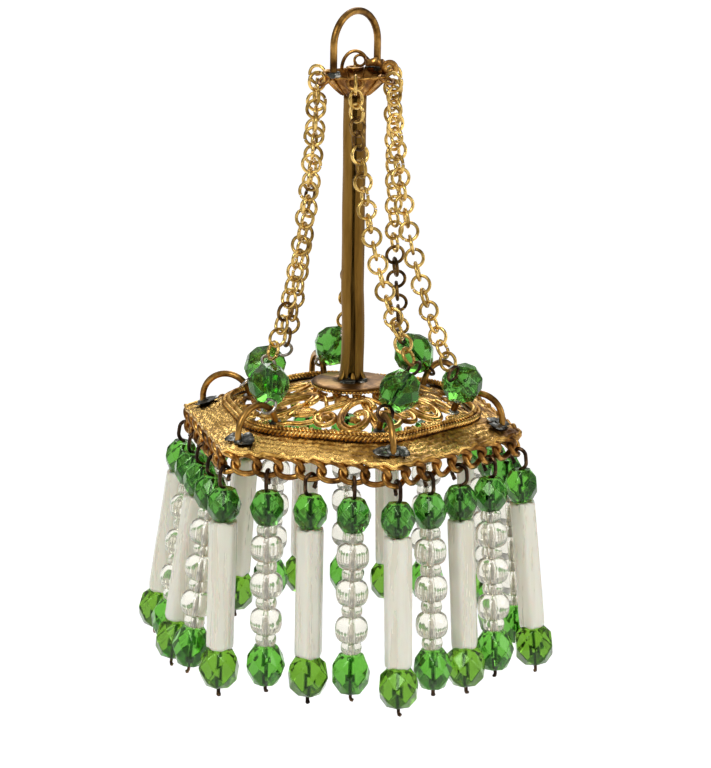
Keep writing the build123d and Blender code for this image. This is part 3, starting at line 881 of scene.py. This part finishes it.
def chain(number):
    """Closed links from a petal to the bead pin, which leans in from its lift loop."""
    corner = 60 * number
    body = f"chain_{number + 1}"
    sideways, inwards, up = chain_ends[number]
    reach = unit(along(corner) * sideways - outward(corner) * inwards + UP * up)
    lean = atan2(inwards, up)
    hook = np.array(joints[f"{body}_sway"]["pos_m"]) / MM
    loop_run = outward(corner) * cos(lean) + UP * sin(lean)
    low_eye = hook + reach * (end_eye - end_eye_wire / 2 - arch_wire / 2 - 0.05)
    high_eye = low_eye + reach * (2 * end_eye + end_shank)
    centre = low_eye + reach * (end_eye + end_shank / 2)
    petal = outward(crown_turn + corner)
    top = petal * (ear_centre + (ear_radius + ear_hole_radius) / 2) + at_height(crown_rim_z - 0.8)
    span = high_eye - top
    bend = top + span * np.array([0.12, 0.12, 0.62])
    last = link_radius + end_eye - end_eye_wire / 2 - link_wire / 2 - 0.04
    places, headings = curve_places(top, bend, high_eye, last)
    level = unit([span[1], -span[0], 0])
    shape = Shape()
    facing = along(crown_turn + corner)
    draw = random.Random(50 + number)
    dark_share = 0.16
    shade = 0
    for i, (place, heading) in enumerate(zip(places, headings)):
        if i:
            flat_level = unit(level - heading * np.dot(level, heading))
            facing = turned(flat_level, heading, 94 * i)
        if draw.random() < 0.5:
            shade = 1 if draw.random() < dark_share else 0
        shape.add(open_link(draw.random()), shade, basis(heading, facing), place)
    shape.piece(f"{body}_links", body, "gilt_brass", [chain_brass, chain_dark], [body])

    eye_facing = unit(np.cross(facing, reach))
    pin = Shape()
    for eye_centre, normal, inner in ((low_eye, loop_run, reach), (high_eye, eye_facing, -reach)):
        normal = unit(normal - reach * np.dot(normal, reach))
        eye = tube(arc(end_eye, 12, 350, 30), end_eye_wire / 2, 10, normal=UP)
        pin.add(eye, 0, basis(inner, normal), eye_centre)
    shank = [centre + reach * s for s in np.linspace(-end_shank / 2 - 0.05, end_shank / 2 + 0.05, 6)]
    pin.add(tube(shank, end_eye_wire / 2 * 0.95, 10))
    pin.piece(f"{body}_pin", body, "wire", [silver_wire if number in (3, 4, 5) else dark_wire_and_rope_shade])
    bead = Shape().add(cut_bead(5.3, 4.4, 0.62, 8, 300 + number), 0,
                       basis(loop_run, reach) @ rotation_z(23 * number), centre)
    bead.piece(f"{body}_bead_cut", body, "green_glass", [deep_glass if number != 4 else green_glass],
               [f"{body}_bead"], smooth=False)


# ------------------------------------------------------------------ drops
pin_wire, eye_width, eye_height, eye_rise = 0.48, 1.34, 2.10, 0.43
top_bead, bottom_bead = (4.4, 4.0), (4.9, 4.8)
large_clear, small_clear = (4.0, 3.0), (2.6, 1.5)
tube_length, tube_flats, tube_bore = 16.0, 3.1, 1.7
gap, bore, tail = 0.02, 0.62, 0.9
first_bead = pin_wire + eye_height - eye_rise - pin_wire / 2 + 0.05


def head_pin(length, seed):
    """Wire bent into an eye at the top, and flattened and bent at its tail."""
    draw = random.Random(seed)
    half = (eye_width + pin_wire) / 2
    upper = eye_rise + pin_wire / 2 - half
    lower = upper - (eye_height - eye_width)
    points = []
    for a in np.linspace(-62, 180, 26):
        points.append((0, half * cos(radians(a)), upper + half * sin(radians(a))))
    points[0] = (0.05, half * 0.9, lower - 0.12)
    for a in np.linspace(180, 262, 12):
        points.append((0, half * cos(radians(a)), lower + half * sin(radians(a))))
    neck = lower - half - 0.25
    for z in np.linspace(neck, neck - top_bead[1] * 0.8, 6):
        points.append((0, 0, z))
    shape = Shape()
    shape.add(tube(points, pin_wire / 2, 10, normal=(1, 0, 0)))
    shank = [(0, 0, z) for z in np.linspace(points[-1][2] + 0.1, -length + bottom_bead[1] * 0.6, 10)]
    shape.add(tube(shank, pin_wire / 2 * 0.97, 10, normal=(1, 0, 0)), 1)
    around = draw.uniform(0, 360)
    kick = draw.uniform(0.12, 0.3)
    tail_points = [(0, 0, shank[-1][2] + 0.1), (0, 0, -length + 0.2), (kick * 0.5, 0, -length - 0.05),
                   (kick * 1.3, 0, -length - 0.12)]
    radii = [pin_wire / 2 * 0.97, pin_wire / 2, pin_wire / 2 * 1.25, pin_wire / 2 * 1.05]
    shape.add(tube(tail_points, radii, 10, normal=(1, 0, 0), flat=0.8), 0, rotation_z(around))
    return shape


def clear_bead(diameter, length, seed):
    """Pressed clear bead: soft shoulders, a small lip at each end of its bore, and a little flat."""
    draw = random.Random(seed)
    half = length / 2
    lip = bore / 2 + 0.12
    profile = []
    for a in np.linspace(-80, 80, 15):
        r = lip + (diameter / 2 - lip) * cos(radians(a)) ** 0.42
        profile.append((r, half * sin(radians(a)) / sin(radians(80)) * 0.97))
    profile += [(lip, half), (bore / 2, half * 0.9), (bore / 2, -half * 0.9), (lip, -half)]
    verts, faces = revolved(profile, 26)
    verts[:, 0] *= 1 + draw.uniform(-0.03, 0.0)
    return verts, faces


def bugle(seed):
    """Six-sided satin glass tube with soft edges, a round bore and roughly cut ends."""
    draw = random.Random(seed)
    around, rows = 48, 40
    corner = tube_flats / 2 / cos(radians(30))
    twist = draw.uniform(-4, 4)
    outside, inside = [], []
    for k in range(around):
        angle = 360 * k / around
        ragged = 0.10 * sin(3 * radians(angle) + seed) + 0.06 * sin(7 * radians(angle))
        for i in range(rows):
            s = i / (rows - 1)
            r = hexagon_radius(angle, corner, 0.55) * (1 + 0.012 * sin(5 * s + seed))
            r *= 1 - 0.05 * (exp(-s * 60) + exp(-(1 - s) * 60))
            z = -tube_length * s
            cut_z = z + (ragged - 0.12) * (exp(-s * 45) - exp(-(1 - s) * 45))
            a = radians(angle + twist * s)
            outside.append((r * cos(a), r * sin(a), cut_z))
            inside.append((tube_bore / 2 * cos(a), tube_bore / 2 * sin(a),
                           cut_z if i in (0, rows - 1) else z))
    return np.array(outside + inside), flipped(two_layers(around, rows))


top_cuts = [cut_bead(*top_bead, bore, 7, 100 + i) for i in range(5)]
bottom_cuts = [cut_bead(*bottom_bead, bore, 7, 200 + i) for i in range(5)]
lime_cuts = [cut_bead(bottom_bead[0] * 1.07, bottom_bead[1] * 0.96, bore, 6, 250 + i) for i in range(5)]


def drop(number):
    """Beads and wire that hang from one gallery ring; every second drop holds a bugle."""
    side, step = divmod(number, 4)
    name = f"drop_{number + 1:02d}"
    place = np.array(joints[f"{name}_swing"]["pos_m"]) / MM
    faces_to = 60 * side if step == 0 else 60 * side + 30
    turn = basis(along(faces_to), UP) @ rotation_x(-drop_leans[number]) @ rotation_z(drop_turns[number])
    draw = random.Random(number)
    with_tube = number % 2 == 0

    def put(made, suffix, slot, material, replaces=(), smooth=True):
        shape = Shape().add(made, 0, turn, place)
        shape.piece(f"{name}_{suffix}", name, slot, [material], replaces, smooth)

    depth = first_bead
    spin = rotation_z(draw.uniform(0, 360))
    verts, faces = top_cuts[number % 5]
    top_glass = green_glass if draw.random() < 0.5 else deep_glass
    put((verts @ spin.T - UP * (depth + top_bead[1] / 2), faces), "top_bead", "green_glass", top_glass,
        [f"{name}_strung"], smooth=False)
    depth += top_bead[1] + gap
    if with_tube:
        verts, faces = bugle(number)
        verts = verts @ rotation_z(draw.uniform(0, 60)).T - UP * depth
        put((verts, faces), "bugle", "white_glass", white_glass, [f"{name}_tube"])
        depth += tube_length + gap
    else:
        row = Shape()
        for size in [small_clear, large_clear] * 3 + [small_clear]:
            row.add(clear_bead(*size, draw.random()), 0, rotation_z(draw.uniform(0, 360)),
                    (0, 0, -depth - size[1] / 2))
            depth += size[1] + gap
        put((np.vstack(row.verts), row.faces), "clear_beads", "clear_glass", clear_glass,
            [f"{name}_strung"])
    spin = rotation_z(draw.uniform(0, 360))
    verts, faces = (lime_cuts if with_tube else bottom_cuts)[(number * 3 + 1) % 5]
    put((verts @ spin.T - UP * (depth + bottom_bead[1] / 2), faces), "bottom_bead", "lime_glass",
        lime_glass if with_tube else green_glass, [f"{name}_strung"], smooth=False)
    depth += bottom_bead[1] + gap
    wire = head_pin(depth + tail, number)
    wire.verts = [verts @ turn.T + place for verts in wire.verts]
    wire.piece(f"{name}_pin", name, "wire", [dark_wire_and_rope_shade, silver_wire], [f"{name}_strung"])


# ------------------------------------------------------------------ the object
border_plate()
rope_trim()
scrollwork()
centre_disc()
stem()
stem_tabs()
crown()
crown_cup()
gallery()
lift_loops()
solder()
for number in range(sides):
    chain(number)
for number in range(4 * sides):
    drop(number)
bail = frame["nodes"]["bail"]
bail.data.materials.clear()
bail.data.materials.append(brown_brass)


# ------------------------------------------------------------------ floor, light and camera
def studio():
    """Pale floor well below the object, a soft sky that darkens downwards, and three soft lamps."""
    mesh = bpy.data.meshes.new("floor")
    half = 40.0
    z = cad_box[0][2] - 0.25
    corners = [(-half, -half, z), (half, -half, z), (half, half, z), (-half, half, z)]
    mesh.from_pydata(corners, [], [[0, 1, 2, 3]])
    floor = bpy.data.objects.new("floor", mesh)
    material, tree, bsdf = shader("floor_paper", (0.93, 0.93, 0.93), Roughness=0.9)
    bsdf.inputs["Emission Color"].default_value = (1, 1, 1, 1)
    bsdf.inputs["Emission Strength"].default_value = 0.52
    mesh.materials.append(material)
    bpy.context.scene.collection.objects.link(floor)

    world = bpy.data.worlds.new("studio")
    world.use_nodes = True
    tree = world.node_tree
    background = tree.nodes["Background"]
    direction = node(tree, "ShaderNodeTexCoord")
    sky = ramp(tree, part_of(tree, "Generated", "Z"), (0.0, 0.20), (0.25, 0.36), (0.6, 0.75), (1.0, 1.0))
    flags = node(tree, "ShaderNodeTexNoise", Scale=2.3, Detail=0.5)    # soft dark flags between the lights
    tree.links.new(direction.outputs["Generated"], flags.inputs["Vector"])
    shade = ramp(tree, flags.outputs["Fac"], (0.42, 0.12), (0.56, 1.0))
    tree.links.new(multiplied(tree, sky, shade), background.inputs["Color"])
    background.inputs["Strength"].default_value = 1.15
    bpy.context.scene.world = world
    lit_point = Vector((0, 0, -0.05))
    for name, place, size, power in (("key", (-0.25, -0.32, 0.30), 0.18, 1.0),
                                     ("fill", (0.36, -0.22, 0.06), 0.20, 0.40),
                                     ("back", (0.12, 0.36, 0.24), 0.22, 0.60)):
        light = bpy.data.lights.new(name, "AREA")
        light.size = size
        light.energy = power
        lamp = bpy.data.objects.new(name, light)
        lamp.location = place
        aim = lit_point - Vector(place)
        lamp.rotation_euler = aim.to_track_quat("-Z", "Y").to_euler()
        bpy.context.scene.collection.objects.link(lamp)


def camera():
    """Looks a little down on the front left, from 400 mm, tilted as the object hangs."""
    azimuth, elevation, roll = map(radians, (-15.5, 14.3, 0.8))
    distance, lens = 400.0, 164.3
    aim_right, aim_up = 0.53, 6.02
    back = np.array([sin(azimuth) * cos(elevation), -cos(azimuth) * cos(elevation), sin(elevation)])
    right = np.array([cos(azimuth), sin(azimuth), 0.0])
    target = right * aim_right + at_height(aim_up)
    upward = np.cross(back, right)
    right_rolled = right * cos(roll) + upward * sin(roll)
    up_rolled = -right * sin(roll) + upward * cos(roll)
    data = bpy.data.cameras.new("camera")
    data.sensor_fit = "HORIZONTAL"
    data.sensor_width = 36.0
    data.lens = lens
    data.clip_start = 0.01
    view = bpy.data.objects.new("camera", data)
    matrix = np.eye(4)
    matrix[:3, 0], matrix[:3, 1], matrix[:3, 2] = right_rolled, up_rolled, back
    matrix[:3, 3] = (target + back * distance) * MM
    view.matrix_world = Matrix([list(row) for row in matrix])
    bpy.context.scene.collection.objects.link(view)
    bpy.context.scene.camera = view


studio()
camera()
bpy.context.scene.view_settings.view_transform = "Standard"
